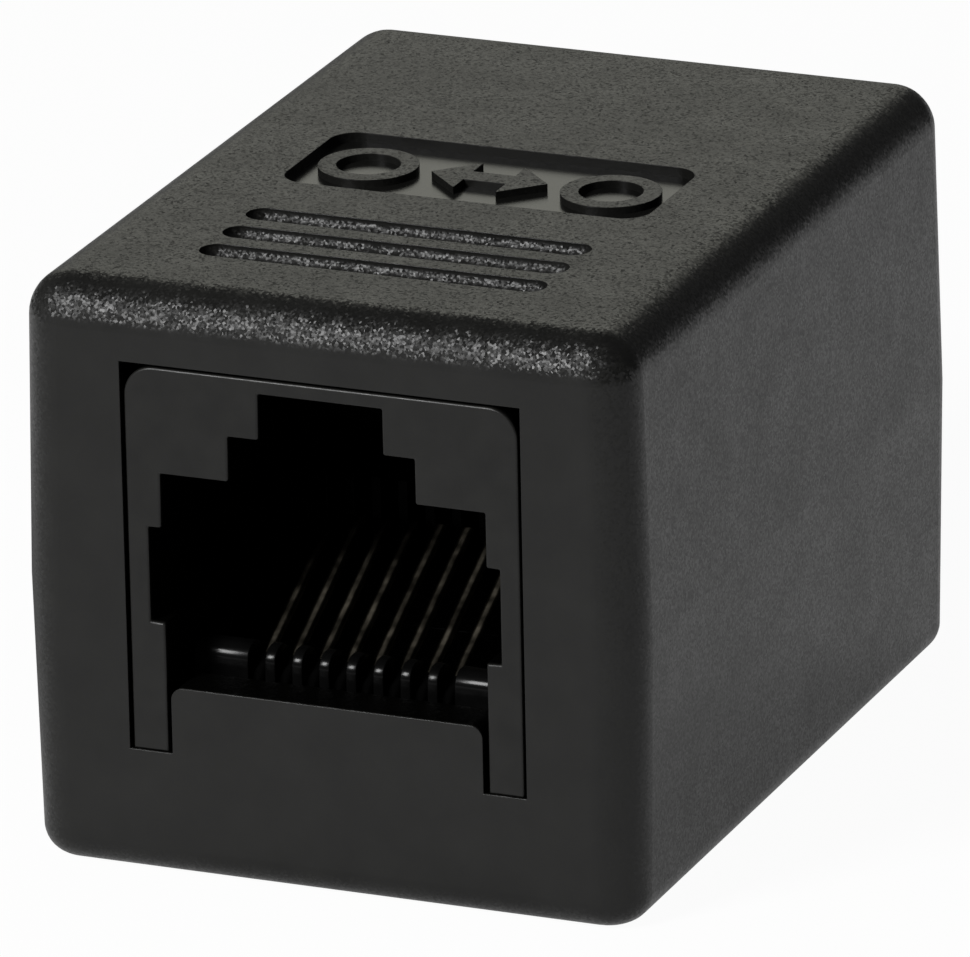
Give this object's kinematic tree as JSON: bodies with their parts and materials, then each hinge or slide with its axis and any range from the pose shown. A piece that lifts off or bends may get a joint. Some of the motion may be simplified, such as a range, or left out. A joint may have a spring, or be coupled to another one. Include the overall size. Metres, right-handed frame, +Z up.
{
  "type": "rj45 inline coupler",
  "caption": "Black moulded in-line coupler with a keyed modular socket at each end, finger grooves and a recessed label panel on top.",
  "frame": {"origin": "middle of the shell's underside", "axes": "+X across the coupler, +Y through it from the front socket (label grooves end) to the rear socket, +Z up, out of the labelled face"},
  "size_m": [0.023, 0.0312, 0.0215],
  "materials": {
    "shell_plastic": "fine spark-eroded texture",
    "jack_plastic": "smooth satin",
    "carrier_plastic": "gloss",
    "board": "solder-masked glass epoxy",
    "solder": "satin",
    "contact_gold": "polished flash plating"
  },
  "bodies": {
    "root": {"circuit_board": "board", "front_contact_1": "contact_gold", "front_contact_2": "contact_gold", "front_contact_3": "contact_gold", "front_contact_4": "contact_gold", "front_contact_5": "contact_gold", "front_contact_6": "contact_gold", "front_contact_7": "contact_gold", "front_contact_8": "contact_gold", "front_contact_carrier": "carrier_plastic", "front_jack_housing": "jack_plastic", "front_solder_joints": "solder", "lower_shell": "shell_plastic", "rear_contact_1": "contact_gold", "rear_contact_2": "contact_gold", "rear_contact_3": "contact_gold", "rear_contact_4": "contact_gold", "rear_contact_5": "contact_gold", "rear_contact_6": "contact_gold", "rear_contact_7": "contact_gold", "rear_contact_8": "contact_gold", "rear_contact_carrier": "carrier_plastic", "rear_jack_housing": "jack_plastic", "rear_solder_joints": "solder", "upper_shell": "shell_plastic"}
  },
  "joints": []
}
